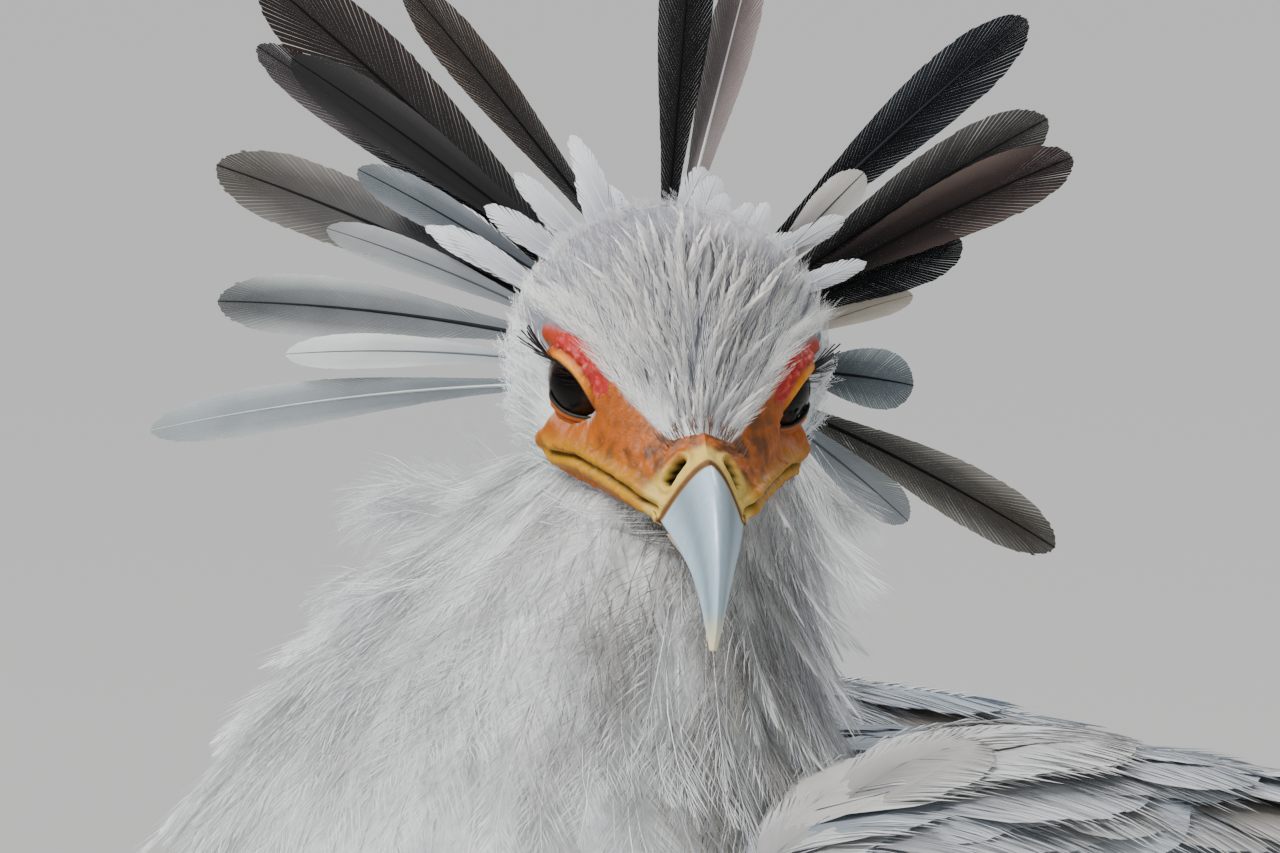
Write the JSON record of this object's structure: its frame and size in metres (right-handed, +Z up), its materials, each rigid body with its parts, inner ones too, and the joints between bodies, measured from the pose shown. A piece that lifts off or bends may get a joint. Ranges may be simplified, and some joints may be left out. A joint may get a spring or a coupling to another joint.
{
  "type": "secretary bird",
  "caption": "Life-size standing secretary bird with its neck drawn in, its head turned and its crest of long feathers fanned out.",
  "frame": {"origin": "on the ground, at the centre of the model's bounding box seen from above", "axes": "+Z up, the bird's body faces -Y, and its left side is towards +X"},
  "size_m": [0.253, 1.0552, 0.971],
  "materials": {
    "plumage": "soft matte feathers, white to pale blue-grey",
    "wing_feathers": "soft matte feathers, pale grey coverts over black flight feathers",
    "thigh_feathers": "soft matte black feathers",
    "tail_feathers": "grey feathers with black bands and white tips",
    "bill": "smooth horn, blue-grey with a pale tip",
    "eye": "wet, dark brown to black",
    "scaled_skin": "scaled skin, pinkish grey",
    "claw": "dark horn"
  },
  "bodies": {
    "root": {"torso": "plumage", "head": "plumage", "neck": "plumage", "bill_upper": "bill", "bill_lower": "bill", "tail": "tail_feathers", "eye_left": "eye", "wing_left": "wing_feathers", "thigh_left": "thigh_feathers", "shank_left": "scaled_skin", "foot_left": "scaled_skin", "claw_middle_left": "claw", "claw_inner_left": "claw", "claw_outer_left": "claw", "claw_hind_left": "claw", "eye_right": "eye", "wing_right": "wing_feathers", "thigh_right": "thigh_feathers", "shank_right": "scaled_skin", "foot_right": "scaled_skin", "claw_middle_right": "claw", "claw_inner_right": "claw", "claw_outer_right": "claw", "claw_hind_right": "claw"}
  },
  "joints": []
}
